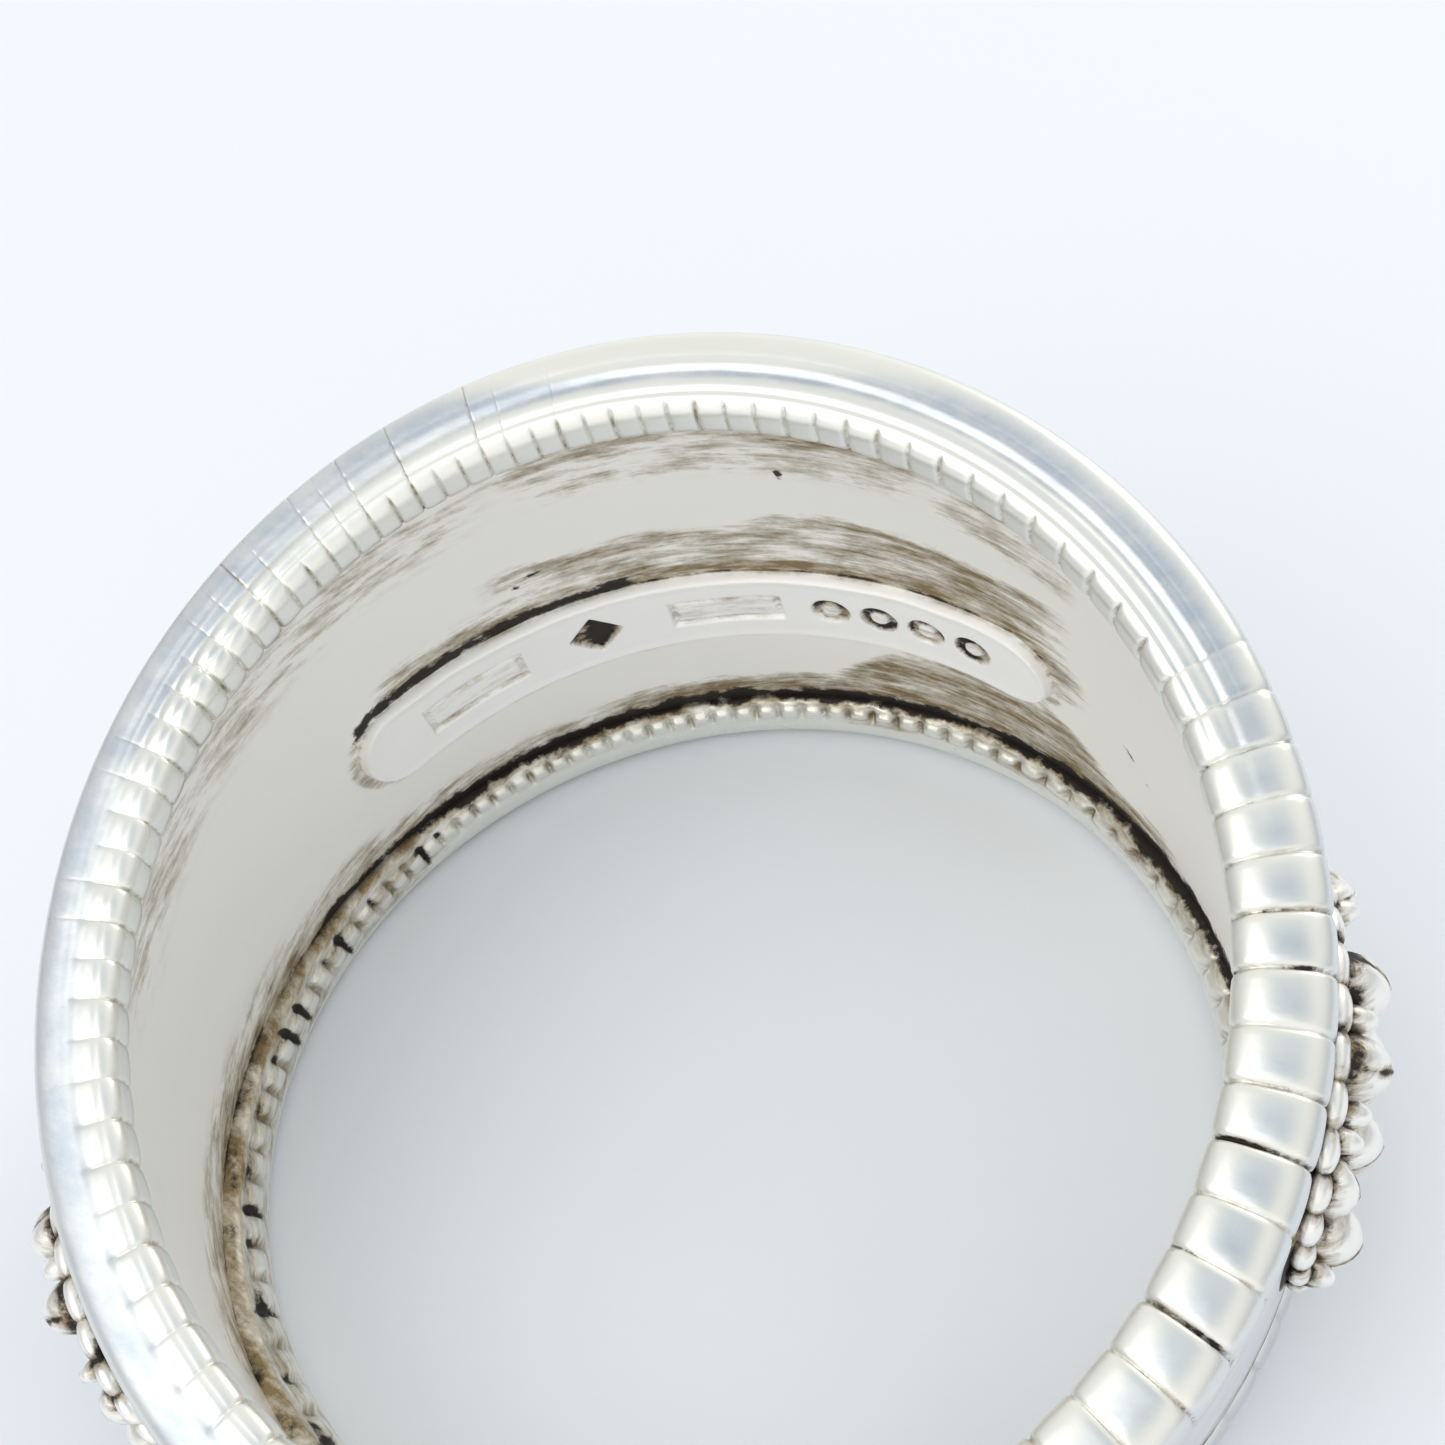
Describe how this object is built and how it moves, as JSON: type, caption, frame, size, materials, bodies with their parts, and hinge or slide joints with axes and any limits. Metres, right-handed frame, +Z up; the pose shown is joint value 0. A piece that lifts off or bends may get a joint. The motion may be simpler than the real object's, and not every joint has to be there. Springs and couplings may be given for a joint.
{
  "type": "finger ring",
  "caption": "Tapered silver band ring, wide at the back and narrow at the front, with beaded rims, a raised plate inside and a raised flower ornament on each side.",
  "frame": {"origin": "centre of the bounding box's bottom face, on the surface that the lower rim rests on", "axes": "+Z up from the resting face, +Y towards the wide back with the plate inside, -Y towards the narrow front; the finger hole leans 12 degrees from +Z towards -Y"},
  "size_m": [0.0194, 0.019, 0.0102],
  "materials": {
    "silver": "polished sterling silver with brown-black tarnish in its recesses"
  },
  "bodies": {
    "root": {"ring": "silver"}
  },
  "joints": []
}
